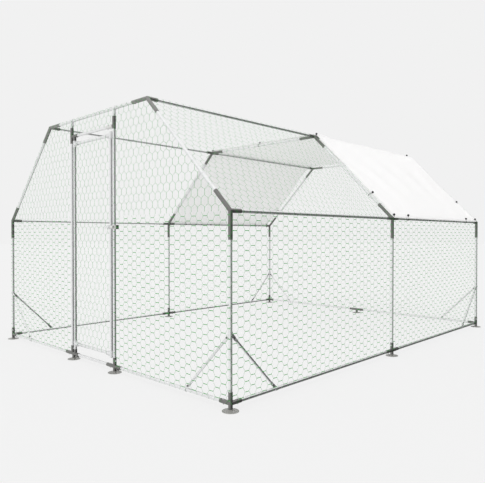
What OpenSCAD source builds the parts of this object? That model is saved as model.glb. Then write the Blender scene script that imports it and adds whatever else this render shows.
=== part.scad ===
// Walk-in chicken run: a galvanised tube frame of two bays held by sleeve fittings,
// hexagonal wire net all round, a hinged door with a slide bolt, and a rain cover
// tied over the rear bay. Millimetres, +Z up. The origin is on the ground in the
// middle of the run, the run's length lies along Y and the door faces -Y.

/* [Run] */
// Width between the corner post axes
run_w = 3000; // [2400:10:3600]
// Length of one bay, between two arch axes
bay_l = 1900; // [1500:10:2200]
// Height of the eave joints above the ground
eave_h = 1147; // [1000:1:1400]
// Height of the ridge joints above the ground
ridge_h = 1932; // [1800:1:2300]
// Width of the flat top, between the ridge joint axes
top_w = 1406; // [1000:2:1800]
// Height of the base rail axes above the ground
base_h = 45; // [36:1:70]

/* [Tube] */
// Outside diameter of the frame tube
tube_d = 22; // [19:0.5:28]
// Wall of the frame tube
tube_wall = 1.2; // [0.8:0.1:2]
// Distance from a joint's centre to the end of a tube in its socket
tube_stop = 30; // [24:1:40]

/* [Fittings] */
// Wall of a sleeve
sleeve_wall = 2; // [1.5:0.1:3]
// Clearance round a tube in its sleeve, and between a tube's end and its seat
socket_gap = 0.3; // [0.2:0.05:0.5]
// How far the round core of a fitting stands proud of its sleeves
core_swell = 0.4; // [0.3:0.1:1]
// Upright socket of a foot, from the base rail axis
foot_up = 65; // [55:1:100]
// Level socket of a foot, from the post axis
foot_side = 97; // [75:1:140]
// Level socket of a corner foot, from the post axis
corner_side = 83; // [75:1:140]
// Downward socket of an eave joint
eave_down = 166; // [80:1:220]
// Sloping socket of an eave joint
eave_slope = 175; // [80:1:220]
// Sloping socket of a ridge joint
ridge_slope = 160; // [80:1:220]
// Level socket of a ridge joint, across the run
ridge_side = 167; // [80:1:220]
// Socket along the run, on eave and ridge joints
rail_side = 84; // [60:1:140]
// Diameter of a foot's disc
disc_d = 100; // [70:1:140]
// Thickness of a foot's disc
disc_t = 3; // [2:0.5:6]
// Chamfer round the top of a foot's disc
disc_chamfer = 0.8; // [0.4:0.1:1.5]

/* [Door] */
// Width between the door post axes
door_w = 622; // [500:2:900]
// Place of the door's middle, to the right of the run's middle
door_mid = -15; // [-100:1:100]
// Distance from a door post's axis to the door stile beside it
stile_gap = 44; // [42:1:60]
// Distance from the hinge post's axis to its foot's stem, towards the door
stem_in = 18; // [0:1:24]
// Drop from the ridge joints to the lintel axis
lintel_drop = 127; // [122:1:250]
// Drop from the lintel axis to the door's top rail
head_gap = 64; // [58:1:120]
// Rise from the sill axis to the door's bottom rail
foot_gap = 85; // [70:1:140]
// How far the latch stile runs past the door rails
stile_over = 27; // [26:1:34]
// Reach of the pivot stubs from the lintel and sill axes
stub_l = 39; // [32:1:42]
// Solid floor of a pivot stub, above the sleeve that carries it
stub_floor = 3; // [2:0.5:5]
// Length of a door clamp along its stile
clamp_l = 50; // [36:1:52]
// Reach of a door clamp along its rail
clamp_reach = 55; // [45:1:90]
// Part of the latch side's lintel sleeve below the lintel axis
lintel_below = 22; // [20:1:40]
// Part of the hinge side's lintel sleeve below the lintel axis
hinge_below = 56; // [20:1:70]
// Part of a lintel joint's sleeve above the lintel axis
lintel_above = 70; // [30:1:72]
// Drop of the socket that takes a door post's top
post_top_drop = 46; // [42:1:50]
// Half length of the sleeve at a door post's top
post_top_half = 25; // [22:1:60]

/* [Latch] */
// Height of the latch above the ground
latch_h = 1066; // [700:1:1200]
// Diameter of the bolt
bolt_d = 10; // [8:0.5:14]
// Clearance round the bolt in its barrels
bolt_gap = 0.4; // [0.3:0.05:0.6]
// Wall of the two barrels
barrel_wall = 2.4; // [1.8:0.1:4]
// Barrel on the door, left of the stile axis
guide_left = 8; // [8:1:40]
// Barrel on the door, right of the stile axis
guide_right = 14; // [8:1:16]
// Barrel on the post, left of the post axis
keeper_left = 12; // [8:1:14]
// Barrel on the post, right of the post axis
keeper_right = 26; // [16:1:40]
// Travel of the bolt
bolt_travel = 22; // [18:1:40]
// Gap between the drawn bolt and the barrel on the post
bolt_clear = 7; // [4:1:12]
// Radius of the bolt's ring handle, to the middle of its wire
ring_r = 10; // [8:0.5:16]
// Wire of the ring handle
ring_wire = 5; // [4:0.5:7]
// Height of a latch clamp
latch_clamp_h = 30; // [22:1:40]
// Reach of a latch clamp's ears from the tube axis
ear_reach = 50; // [30:1:60]
// Thickness of one ear
ear_t = 3; // [2:0.5:5]
// Slit between the ears
ear_slit = 3; // [2:0.5:5]
// Width of the block between a latch clamp and its barrel
latch_block_w = 12; // [8:1:14]

/* [Braces] */
// How far a corner brace reaches along the post and along the rail
brace_reach = 400; // [250:5:600]
// Outside diameter of a brace
brace_d = 16; // [12:0.5:20]
// Wall of a brace
brace_wall = 1; // [0.8:0.1:2]
// Thickness of a brace's flattened end
tab_t = 4; // [2.5:0.5:6]
// Width of a brace's flattened end
tab_w = 20; // [16:1:26]
// Distance from a tube axis to a brace's bolt, along the brace
tab_bolt = 38; // [36:1:60]
// Length from a brace's bolt to the end of its flat
tab_l = 18; // [12:1:30]
// Length over which a brace is pressed flat
press_l = 22; // [12:1:40]
// Bolt hole in a brace's end
tab_hole = 6.5; // [5:0.5:8]
// Vent hole at the middle of a brace, on its inner side
vent_d = 4; // [3:0.5:6]
// Width of a brace clip along its tube
clip_w = 24; // [16:1:40]
// Thickness of a brace clip's lug
lug_t = 3; // [2:0.5:5]

/* [Net] */
// Distance between two twists of the net, across them
net_cell = 180; // [120:5:300]
// Width of a net strand
net_strand = 4; // [2:0.5:6]
// Thickness of the net
net_t = 2; // [1.5:0.5:4]
// Gap between the net and the fittings that it lies on
net_gap = 0.8; // [0.5:0.1:0.9]
// Distance from a door post or stile axis to the edge of the net beside it
net_edge = 8; // [8:0.5:10]
// Gap between two nets that meet in one plane
net_seam = 0.8; // [0.5:0.1:0.9]
// Smallest gap in the net, as an area
net_least = 150; // [100:10:4000]

/* [Cover] */
// Thickness of the rain cover
cover_t = 1.5; // [1:0.1:3]
// Gap between the cover and the net below it
cover_gap = 0.8; // [0.5:0.1:0.9]
// Distance from the rear arch to the cover's rear hem
cover_short = 40; // [20:1:200]
// Angle at which the cover's side hems end, round the eave rail
hem_angle = 15; // [0:1:30]
// Diameter of an eyelet in the cover
eyelet_d = 8; // [7:0.5:12]
// Distance from a hem to the eyelets along it
eyelet_in = 18; // [15:1:40]
// Distance between the first two eyelets along a side hem
eyelet_step = 255; // [150:5:500]
// Distance of the slope eyelets above the eave, along the slope
eyelet_rise = 300; // [150:5:600]
// Diameter of a ball tie's ball
ball_d = 20; // [14:0.5:28]
// Neck of a ball tie, where its elastic enters the eyelet
ball_neck = 6; // [4:0.5:6.5]
// Gap between a ball and the cover
ball_gap = 0.3; // [0.2:0.05:0.5]

/* [Hidden] */
$fn = 48;
half_w = run_w / 2;
half_l = bay_l;
half_top = top_w / 2;
arches = [-half_l, 0, half_l];
sides = [-1, 1];
tube_r = tube_d / 2;
bore_r = tube_r + socket_gap;
sleeve_r = bore_r + sleeve_wall;
core_r = sleeve_r + core_swell;
branch_r = sleeve_r - core_swell;
leg_start = 2;
through = 1;

slope_a = atan2(ridge_h - eave_h, half_w - half_top);
rafter_l = norm([half_w - half_top, ridge_h - eave_h]);
slope_v = [-cos(slope_a), 0, sin(slope_a)];

door_x = door_w / 2;
stile_x = door_x - stile_gap;
lintel_h = ridge_h - lintel_drop;
door_top_h = lintel_h - head_gap;
door_bottom_h = base_h + foot_gap;
pivot_floor = sleeve_r + stub_floor;

barrel_bore = bolt_d / 2 + bolt_gap;
barrel_r = barrel_bore + barrel_wall;
net_off = core_r + net_gap;
branch_off = branch_r + net_gap;
bolt_y = net_off + net_t + barrel_r + 2 * net_gap;
bolt_tip = door_x - keeper_left - bolt_clear;
ring_right = stile_x - guide_left - bolt_travel - ring_wire;
bolt_y_world = -half_l - bolt_y;

brace_l = brace_reach * sqrt(2);
lug_off = tab_t / 2 + socket_gap;

cover_r = net_off + net_t + cover_gap;
cover_l = bay_l - cover_short;
cover_steps = 6;

galvanised = [0.72, 0.73, 0.73];
fitting_grey = [0.44, 0.44, 0.42];
bright_zinc = [0.82, 0.83, 0.83];
net_green = [0.42, 0.68, 0.44];
cover_white = [0.95, 0.95, 0.95];
ball_black = [0.08, 0.08, 0.08];

// Points where tube axes meet, on one side (-1 left, 1 right) of the arch at y
function base_point(side, y) = [side * half_w, y, base_h];
function eave_point(side, y) = [side * half_w, y, eave_h];
function ridge_point(side, y) = [side * half_top, y, ridge_h];
// A point of the door frame, at x from the door's middle
function door_point(x, z) = [door_mid + x, -half_l, z];
function slope_dir(side) = [side * slope_v.x, 0, slope_v.z];
function unit(v) = v / norm(v);

// Children drawn along +Z, moved to start at a and point towards b
module along(a, b) {
    v = b - a;
    translate(a)
        rotate([0, acos(v.z / norm(v)), atan2(v.y, v.x)])
            children();
}

// A straight tube from a to b
module tube(a, b, d = tube_d, wall = tube_wall) {
    along(a, b)
        linear_extrude(norm(b - a))
            difference() {
                circle(d = d);
                circle(d = d - 2 * wall);
            }
}

// A tube between two joint centres, ending in the sockets of both
module rail(a, b) {
    u = unit(b - a) * tube_stop;
    tube(a + u, b - u);
}

// Sleeves round a joint centre: legs holds [direction, length] for each
module sleeves(legs, r = sleeve_r) {
    for (leg = legs)
        along([0, 0, 0], leg[0])
            translate([0, 0, leg_start])
                cylinder(h = leg[1] - leg_start, r = r);
}

// The bores of those sleeves, from the tubes' seats outward
module bores(legs) {
    for (leg = legs)
        along([0, 0, 0], leg[0])
            translate([0, 0, tube_stop - socket_gap])
                cylinder(h = leg[1] - tube_stop + socket_gap + through, r = bore_r);
}

// A whole fitting of sleeves that meet in one core
module fitting(legs) {
    difference() {
        union() {
            sphere(r = core_r);
            sleeves(legs);
        }
        bores(legs);
    }
}

// A sleeve open at both ends, along Z from low to high
module collar(low, high) {
    translate([0, 0, low])
        cylinder(h = high - low, r = sleeve_r);
}

module collar_bore(low, high) {
    translate([0, 0, low - through])
        cylinder(h = high - low + 2 * through, r = bore_r);
}

// A foot's stem and disc, below a joint at the height of the base rails
module stem_and_disc() {
    translate([0, 0, disc_t / 2 - base_h])
        cylinder(h = base_h - disc_t / 2 - leg_start, r = sleeve_r);
    translate([0, 0, -base_h])
        rotate_extrude()
            polygon([
                [0, 0],
                [disc_d / 2, 0],
                [disc_d / 2, disc_t - disc_chamfer],
                [disc_d / 2 - disc_chamfer, disc_t],
                [0, disc_t]
            ]);
}

// A foot with an upright socket and level sockets: runs holds [direction, length] for each
module foot(runs, up = true, stem = 0) {
    legs = concat(up ? [[[0, 0, 1], foot_up]] : [], runs);
    difference() {
        union() {
            sphere(r = core_r);
            sleeves(legs);
            translate([stem, 0, 0])
                stem_and_disc();
        }
        bores(legs);
    }
}

// The stub in which the door's hinge stile turns, upward from a level sleeve's axis
module stub() {
    translate([stile_gap, 0, leg_start])
        cylinder(h = stub_l - leg_start, r = branch_r);
}

module stub_bore() {
    translate([stile_gap, 0, pivot_floor])
        cylinder(h = stub_l - pivot_floor + through, r = bore_r);
}

// Frame tubes
module posts(y) {
    color(galvanised)
        for (side = sides)
            rail(base_point(side, y), eave_point(side, y));
}

module rafters(y) {
    color(galvanised)
        for (side = sides)
            rail(eave_point(side, y), ridge_point(side, y));
}

module top_tie(y) {
    color(galvanised)
        rail(ridge_point(-1, y), ridge_point(1, y));
}

module eave_rails(side) {
    color(galvanised)
        for (bay = [0, 1])
            rail(eave_point(side, arches[bay]), eave_point(side, arches[bay + 1]));
}

module ridge_rails(side) {
    color(galvanised)
        for (bay = [0, 1])
            rail(ridge_point(side, arches[bay]), ridge_point(side, arches[bay + 1]));
}

module base_rails(side) {
    color(galvanised)
        for (bay = [0, 1])
            rail(base_point(side, arches[bay]), base_point(side, arches[bay + 1]));
}

module front_base_rails() {
    color(galvanised)
        for (side = sides)
            rail(base_point(side, -half_l), door_point(side * door_x, base_h));
}

module door_sill() {
    color(galvanised)
        rail(door_point(-door_x, base_h), door_point(door_x, base_h));
}

module rear_base_rails() {
    color(galvanised)
        for (side = sides)
            rail(base_point(side, half_l), [0, half_l, base_h]);
}

module door_post(side) {
    color(galvanised)
        rail(door_point(side * door_x, base_h), door_point(side * door_x, ridge_h));
}

module lintel() {
    color(galvanised)
        rail(door_point(-door_x, lintel_h), door_point(door_x, lintel_h));
}

// Feet
function both_ways(left, right) = [[[-1, 0, 0], left], [[1, 0, 0], right]];

module side_foot(side, y) {
    runs = y == 0
        ? [[[0, -1, 0], foot_side], [[0, 1, 0], foot_side]]
        : [[[-side, 0, 0], corner_side], [[0, -sign(y), 0], corner_side]];
    color(fitting_grey)
        translate(base_point(side, y))
            foot(runs);
}

module rear_centre_foot() {
    color(fitting_grey)
        translate([0, half_l, base_h])
            foot(both_ways(foot_side, foot_side), up = false);
}

module hinge_post_foot() {
    color(fitting_grey)
        translate(door_point(-door_x, base_h))
            difference() {
                union() {
                    foot(both_ways(foot_side, foot_side), stem = stem_in);
                    difference() {
                        stub();
                        bores([[[1, 0, 0], foot_side]]);
                    }
                }
                stub_bore();
            }
}

module latch_post_foot() {
    color(fitting_grey)
        translate(door_point(door_x, base_h))
            foot(both_ways(foot_side, corner_side));
}

// Eave and ridge joints
module eave_joint(side, y) {
    runs = y == 0 ? [-1, 1] : [-sign(y)];
    translate(eave_point(side, y))
        fitting(concat(
            [[[0, 0, -1], eave_down], [slope_dir(side), eave_slope]],
            [for (r = runs) [[0, r, 0], rail_side]]
        ));
}

module ridge_joint(side, y) {
    runs = y == 0 ? [-1, 1] : [-sign(y)];
    translate(ridge_point(side, y))
        fitting(concat(
            [[[-side, 0, 0], ridge_side], [-slope_dir(side), ridge_slope]],
            [for (r = runs) [[0, r, 0], rail_side]]
        ));
}

module gable_eave_joints() {
    color(fitting_grey)
        for (side = sides, y = [-half_l, half_l])
            eave_joint(side, y);
}

module middle_eave_joints() {
    color(fitting_grey)
        for (side = sides)
            eave_joint(side, 0);
}

module gable_ridge_joints() {
    color(fitting_grey)
        for (side = sides, y = [-half_l, half_l])
            ridge_joint(side, y);
}

module middle_ridge_joints() {
    color(fitting_grey)
        for (side = sides)
            ridge_joint(side, 0);
}

// Joints of the door frame. The post runs through the collar, the lintel ends in the branch
module lintel_joint(side, pivot) {
    legs = [[[-side, 0, 0], foot_side]];
    below = pivot ? hinge_below : lintel_below;
    difference() {
        union() {
            collar(-below, lintel_above);
            sleeves(legs, branch_r);
            if (pivot)
                mirror([0, 0, 1])
                    stub();
        }
        collar_bore(-below, lintel_above);
        bores(legs);
        if (pivot)
            mirror([0, 0, 1])
                stub_bore();
    }
}

module hinge_lintel_joint() {
    color(fitting_grey)
        translate(door_point(-door_x, lintel_h))
            lintel_joint(-1, true);
}

module latch_lintel_joint() {
    color(fitting_grey)
        translate(door_point(door_x, lintel_h))
            lintel_joint(1, false);
}

module post_top_joints() {
    legs = [[[0, 0, -1], post_top_drop]];
    color(bright_zinc)
        for (side = sides)
            translate(door_point(side * door_x, ridge_h))
                difference() {
                    union() {
                        rotate([0, 90, 0])
                            collar(-post_top_half, post_top_half);
                        sleeves(legs, branch_r);
                    }
                    rotate([0, 90, 0])
                        collar_bore(-post_top_half, post_top_half);
                    bores(legs);
                }
}

// Door
module door_hinge_stile() {
    color(galvanised)
        tube(
            door_point(-stile_x, base_h + pivot_floor + socket_gap),
            door_point(-stile_x, lintel_h - pivot_floor - socket_gap)
        );
}

module door_latch_stile() {
    color(galvanised)
        tube(
            door_point(stile_x, door_bottom_h - stile_over),
            door_point(stile_x, door_top_h + stile_over)
        );
}

module door_rail(z) {
    color(galvanised)
        rail(door_point(-stile_x, z), door_point(stile_x, z));
}

module door_corner_clamps() {
    color(bright_zinc)
        for (side = sides, z = [door_bottom_h, door_top_h]) {
            legs = [[[-side, 0, 0], clamp_reach]];
            translate(door_point(side * stile_x, z))
                difference() {
                    union() {
                        collar(-clamp_l / 2, clamp_l / 2);
                        sleeves(legs, branch_r);
                    }
                    collar_bore(-clamp_l / 2, clamp_l / 2);
                    bores(legs);
                }
        }
}

// A split clamp round an upright tube, with ears to one side and a barrel in front.
// The barrel lies along X from left to right, both measured from the tube's axis
module latch_clamp(ear_side, left, right) {
    half_h = latch_clamp_h / 2;
    ear_w = ear_slit + 2 * ear_t;
    difference() {
        union() {
            collar(-half_h, half_h);
            translate([ear_side > 0 ? 0 : -ear_reach, -ear_w / 2, -half_h])
                cube([ear_reach, ear_w, latch_clamp_h]);
            translate([-latch_block_w / 2, -bolt_y, -barrel_r / 2])
                cube([latch_block_w, bolt_y, barrel_r]);
            translate([-left, -bolt_y, 0])
                rotate([0, 90, 0])
                    cylinder(h = left + right, r = barrel_r);
        }
        collar_bore(-half_h, half_h);
        translate([ear_side > 0 ? 0 : -ear_reach - through, -ear_slit / 2, -half_h - through])
            cube([ear_reach + through, ear_slit, latch_clamp_h + 2 * through]);
        translate([-left - through, -bolt_y, 0])
            rotate([0, 90, 0])
                cylinder(h = left + right + 2 * through, r = barrel_bore);
    }
}

module latch_guide() {
    color(bright_zinc)
        translate(door_point(stile_x, latch_h))
            latch_clamp(-1, guide_left, guide_right);
}

module latch_keeper() {
    color(fitting_grey)
        translate(door_point(door_x, latch_h))
            latch_clamp(1, keeper_left, keeper_right);
}

// The bolt is drawn back here; it slides towards +X
module latch_bolt() {
    color(bright_zinc)
        translate([door_mid, bolt_y_world, latch_h]) {
            translate([ring_right, 0, 0])
                rotate([0, 90, 0])
                    cylinder(h = bolt_tip - ring_right, d = bolt_d);
            translate([ring_right - ring_r, 0, 0])
                rotate([90, 0, 0])
                    rotate_extrude()
                        translate([ring_r, 0])
                            circle(d = ring_wire);
        }
}

// Corner braces, drawn along X in the plane of a wall, with Y as the wall's outward side
module tab_outline(from, to) {
    translate([from, -tab_w / 2])
        square([to - from, tab_w]);
    translate([from, 0])
        circle(d = tab_w);
}

// One pressed end: flat at the bolt, growing to the full tube
module pressed_end() {
    press_from = tab_bolt + tab_l;
    press_to = press_from + press_l;
    translate([0, tab_t / 2, 0])
        rotate([90, 0, 0])
            linear_extrude(tab_t)
                difference() {
                    tab_outline(tab_bolt, press_from + leg_start);
                    translate([tab_bolt, 0])
                        circle(d = tab_hole);
                }
    intersection() {
        translate([press_from, 0, 0])
            rotate([0, 90, 0])
                cylinder(h = press_l, r1 = tab_w / 2 + core_swell, r2 = brace_d / 2 + core_swell);
        translate([0, 0, -tab_w])
            linear_extrude(2 * tab_w)
                polygon([
                    [press_from, -tab_t / 2 - core_swell],
                    [press_to, -brace_d / 2 - 2 * core_swell],
                    [press_to, brace_d / 2 + 2 * core_swell],
                    [press_from, tab_t / 2 + core_swell]
                ]);
    }
}

module brace() {
    tube_from = tab_bolt + tab_l + press_l - leg_start;
    pressed_end();
    translate([brace_l, 0, 0])
        mirror([1, 0, 0])
            pressed_end();
    difference() {
        tube([tube_from, 0, 0], [brace_l - tube_from, 0, 0], brace_d, brace_wall);
        translate([brace_l / 2, 0, 0])
            rotate([90, 0, 0])
                cylinder(h = brace_d, d = vent_d);
    }
}

// Moves a brace or clip, drawn along X from a post, into the wall that runs from the
// corner: across the run or along it
module at_corner(side, y, across) {
    translate([side * half_w, y, base_h + brace_reach])
        if (across)
            mirror([side > 0 ? 1 : 0, 0, 0])
                mirror([0, y < 0 ? 1 : 0, 0])
                    rotate([0, 45, 0])
                        children();
        else
            mirror([0, y > 0 ? 1 : 0, 0])
                mirror([side < 0 ? 1 : 0, 0, 0])
                    rotate([0, 0, 90])
                        mirror([0, 1, 0])
                            rotate([0, 45, 0])
                                children();
}

module corner_braces() {
    color(galvanised)
        for (side = sides, y = [-half_l, half_l], across = [true, false])
            at_corner(side, y, across)
                brace();
}

// A lug beside a brace's flat end, with its bolt hole
module lug() {
    translate([0, lug_off + lug_t, 0])
        rotate([90, 0, 0])
            linear_extrude(lug_t)
                difference() {
                    union() {
                        translate([tube_r, -tab_w / 2])
                            square([tab_bolt - tube_r, tab_w]);
                        translate([tab_bolt, 0])
                            circle(d = tab_w);
                    }
                    translate([tab_bolt, 0])
                        circle(d = tab_hole);
                }
}

// The clip round a post carries the braces of both walls
module post_clip(side, y) {
    half = clip_w / 2;
    difference() {
        union() {
            translate([side * half_w, y, base_h + brace_reach])
                collar(-half, half);
            for (across = [true, false])
                at_corner(side, y, across)
                    lug();
        }
        translate([side * half_w, y, base_h + brace_reach])
            collar_bore(-clip_w, clip_w);
    }
}

// The clip round a base rail, drawn at the far end of a brace
module rail_clip() {
    half = clip_w / 2;
    difference() {
        union() {
            translate([brace_l, 0, 0])
                rotate([0, 45, 0])
                    collar(-half, half);
            translate([brace_l, 0, 0])
                mirror([1, 0, 0])
                    lug();
        }
        translate([brace_l, 0, 0])
            rotate([0, 45, 0])
                collar_bore(-clip_w, clip_w);
    }
}

module brace_clips() {
    color(fitting_grey)
        for (side = sides, y = [-half_l, half_l]) {
            post_clip(side, y);
            for (across = [true, false])
                at_corner(side, y, across)
                    rail_clip();
        }
}

// Hexagonal net. The twists of a net run along its local X, or along Y where upright is true
function cut(p, a, n) = [
    for (i = [0 : len(p) - 1])
        let (c = p[i], d = p[(i + 1) % len(p)], s = (c - a) * n, t = (d - a) * n)
            each concat(
                s >= 0 ? [c] : [],
                (s >= 0) != (t >= 0) ? [c + (d - c) * s / (s - t)] : []
            )
];
function inward(v) = [-v.y, v.x] / norm(v);
function clip(p, out, i = 0) = i == len(out) || len(p) < 3 ? p :
    let (a = out[i], n = inward(out[(i + 1) % len(out)] - a))
        clip(cut(p, a + n * net_strand, n), out, i + 1);
function cross2(a, b) = a.x * b.y - a.y * b.x;
function sum(v, i = 0) = i < len(v) ? v[i] + sum(v, i + 1) : 0;
function area(p) = len(p) < 3 ? 0 :
    abs(sum([for (i = [0 : len(p) - 1]) cross2(p[i], p[(i + 1) % len(p)])])) / 2;
function turned(p, upright) = upright ? [for (q = p) [q.y, q.x]] : p;
function hexagon(c) = let (r = (net_cell - net_strand) / sqrt(3))
    [for (k = [0 : 5]) c + r * [cos(60 * k), sin(60 * k)]];
function anticlockwise(p) = sum([
    for (i = [0 : len(p) - 1]) cross2(p[i], p[(i + 1) % len(p)])
]) > 0 ? p : [for (i = [len(p) - 1 : -1 : 0]) p[i]];

// A flat net inside a convex outline, with a strand along every edge
module net(outline, upright = false) {
    out = anticlockwise(turned(outline, upright));
    xs = [for (q = out) q.x];
    ys = [for (q = out) q.y];
    middle = [(max(xs) + min(xs)) / 2, (max(ys) + min(ys)) / 2];
    pitch = net_cell * sqrt(3) / 2;
    columns = ceil((max(xs) - min(xs)) / pitch / 2) + 1;
    rows = ceil((max(ys) - min(ys)) / net_cell / 2) + 1;
    gaps = [
        for (i = [-columns : columns], j = [-rows : rows])
            let (c = middle + [i * pitch, (j + (i % 2 == 0 ? 0 : 0.5)) * net_cell])
                clip(hexagon(c), out)
    ];
    linear_extrude(net_t)
        difference() {
            polygon(outline);
            for (g = gaps)
                if (area(g) > net_least)
                    polygon(turned(g, upright));
        }
}

function rectangle(x1, y1, x2, y2) = [[x1, y1], [x2, y1], [x2, y2], [x1, y2]];

// Places a net drawn in X and Z on the outside of the front or rear frame
module on_end(y_side, off = net_off) {
    mirror([0, y_side > 0 ? 1 : 0, 0])
        translate([0, -half_l - off, 0])
            rotate([90, 0, 0])
                children();
}

// Places a net drawn in Y and Z on the outside of a long wall
module on_wall(side) {
    mirror([side < 0 ? 1 : 0, 0, 0])
        translate([half_w + net_off, 0, 0])
            rotate([90, 0, 90])
                children();
}

// Moves what is drawn on a wall's plane, from the eave up, on to the slope of the roof
module on_slope(side) {
    mirror([side < 0 ? 1 : 0, 0, 0])
        translate([half_w, 0, eave_h])
            rotate([0, slope_a - 90, 0])
                rotate([90, 0, 90])
                    children();
}

module front_wall_nets() {
    color(net_green)
        on_end(-1)
            for (side = sides)
                net(rectangle(
                    side > 0 ? door_mid + door_x + net_edge : -half_w, base_h,
                    side > 0 ? half_w : door_mid - door_x - net_edge, eave_h
                ));
}

module front_gable_nets() {
    low = eave_h + net_seam;
    high = ridge_h;
    near = door_x + net_edge;
    reach = half_w - net_seam / tan(slope_a);
    color(net_green) {
        on_end(-1)
            for (side = sides)
                net([
                    [door_mid + side * near, low], [side * reach, low],
                    [side * half_top, high], [door_mid + side * near, high]
                ], true);
        on_end(-1, branch_off)
            net(rectangle(
                door_mid - door_x + net_edge, lintel_h,
                door_mid + door_x - net_edge, high
            ), true);
    }
}

module side_wall_net(side) {
    color(net_green)
        on_wall(side)
            net(rectangle(-half_l, base_h, half_l, eave_h));
}

module rear_wall_net() {
    color(net_green)
        on_end(1)
            net(rectangle(-half_w, base_h, half_w, eave_h));
}

module rear_gable_net() {
    low = eave_h + net_seam;
    reach = half_w - net_seam / tan(slope_a);
    color(net_green)
        on_end(1)
            net([[-reach, low], [reach, low], [half_top, ridge_h], [-half_top, ridge_h]], true);
}

module roof_net(side) {
    color(net_green)
        on_slope(side)
            translate([0, 0, net_off])
                net(rectangle(-half_l, 0, half_l, rafter_l));
}

module top_roof_net() {
    color(net_green)
        translate([0, 0, ridge_h + net_off])
            net(rectangle(-half_top, -half_l, half_top, half_l), true);
}

module door_net() {
    color(net_green)
        on_end(-1, branch_off)
            net(rectangle(
                door_mid - stile_x + net_edge, door_bottom_h,
                door_mid + stile_x - net_edge, door_top_h
            ), true);
}

// Rain cover. Its section follows the roof at a distance r from the tube axes
function arc(c, r, a1, a2) = [
    for (i = [0 : cover_steps])
        let (a = a1 + (a2 - a1) * i / cover_steps)
            c + r * [cos(a), sin(a)]
];
function half_section(r) = concat(
    arc([half_w, eave_h], r, hem_angle, 90 - slope_a),
    arc([half_top, ridge_h], r, 90 - slope_a, 90)
);
function mirrored(p) = [for (i = [len(p) - 1 : -1 : 0]) [-p[i].x, p[i].y]];
function section(r) = concat(half_section(r), mirrored(half_section(r)));
function reversed(p) = [for (i = [len(p) - 1 : -1 : 0]) p[i]];

// Eyelets, in pairs along the cover: on the eave hems, the slopes, the flat top and its crests
hem_ys = [eyelet_in, cover_l - eyelet_in];
eave_ys = concat(hem_ys, [eyelet_in + eyelet_step, cover_l - eyelet_in - eyelet_step]);

// Repeats the children at every eyelet, drawn with the cover's outside as Z = 0
module at_eyelets() {
    outside = cover_r + cover_t;
    for (side = sides) {
        on_slope(side)
            for (y = eave_ys)
                translate([y, eyelet_in, outside])
                    children();
        on_slope(side)
            for (y = hem_ys)
                translate([y, eyelet_rise, outside])
                    children();
    }
    for (y = hem_ys) {
        translate([0, y, ridge_h + outside])
            children();
        for (side = sides)
            translate(ridge_point(side, y))
                rotate([0, side * slope_a / 2, 0])
                    translate([0, 0, outside])
                        children();
    }
}

module rain_cover() {
    color(cover_white)
        difference() {
            translate([0, cover_l, 0])
                rotate([90, 0, 0])
                    linear_extrude(cover_l)
                        polygon(concat(section(cover_r + cover_t), reversed(section(cover_r))));
            at_eyelets()
                translate([0, 0, -cover_t - cover_gap / 2])
                    cylinder(h = cover_t + cover_gap, d = eyelet_d);
        }
}

module ball_ties() {
    ball_up = ball_gap + ball_d / 2;
    color(ball_black)
        at_eyelets() {
            translate([0, 0, ball_up])
                sphere(d = ball_d);
            translate([0, 0, -cover_t])
                cylinder(h = cover_t + ball_up, d = ball_neck);
        }
}

posts(-half_l);  // front_posts
posts(0);  // middle_posts
posts(half_l);  // rear_posts
rafters(-half_l);  // front_rafters
rafters(0);  // middle_rafters
rafters(half_l);  // rear_rafters
top_tie(-half_l);  // front_top_tie
top_tie(0);  // middle_top_tie
top_tie(half_l);  // rear_top_tie
eave_rails(-1);  // left_eave_rails
eave_rails(1);  // right_eave_rails
ridge_rails(-1);  // left_ridge_rails
ridge_rails(1);  // right_ridge_rails
base_rails(-1);  // left_base_rails
base_rails(1);  // right_base_rails
front_base_rails();
door_sill();
rear_base_rails();
door_post(-1);  // hinge_post
door_post(1);  // latch_post
lintel();
corner_braces();
brace_clips();
side_foot(-1, -half_l);  // front_left_foot
side_foot(1, -half_l);  // front_right_foot
side_foot(-1, 0);  // middle_left_foot
side_foot(1, 0);  // middle_right_foot
side_foot(-1, half_l);  // rear_left_foot
side_foot(1, half_l);  // rear_right_foot
rear_centre_foot();
hinge_post_foot();
latch_post_foot();
gable_eave_joints();
middle_eave_joints();
gable_ridge_joints();
middle_ridge_joints();
hinge_lintel_joint();
latch_lintel_joint();
post_top_joints();
door_hinge_stile();
door_latch_stile();
door_rail(door_top_h);  // door_top_rail
door_rail(door_bottom_h);  // door_bottom_rail
door_corner_clamps();
door_net();
latch_guide();
latch_bolt();
latch_keeper();
front_wall_nets();
front_gable_nets();
side_wall_net(-1);  // left_wall_net
side_wall_net(1);  // right_wall_net
rear_wall_net();
rear_gable_net();
roof_net(-1);  // left_roof_net
roof_net(1);  // right_roof_net
top_roof_net();
rain_cover();
ball_ties();
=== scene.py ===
import math

import bmesh
import bpy
from mathutils import Matrix, Vector, noise


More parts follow.
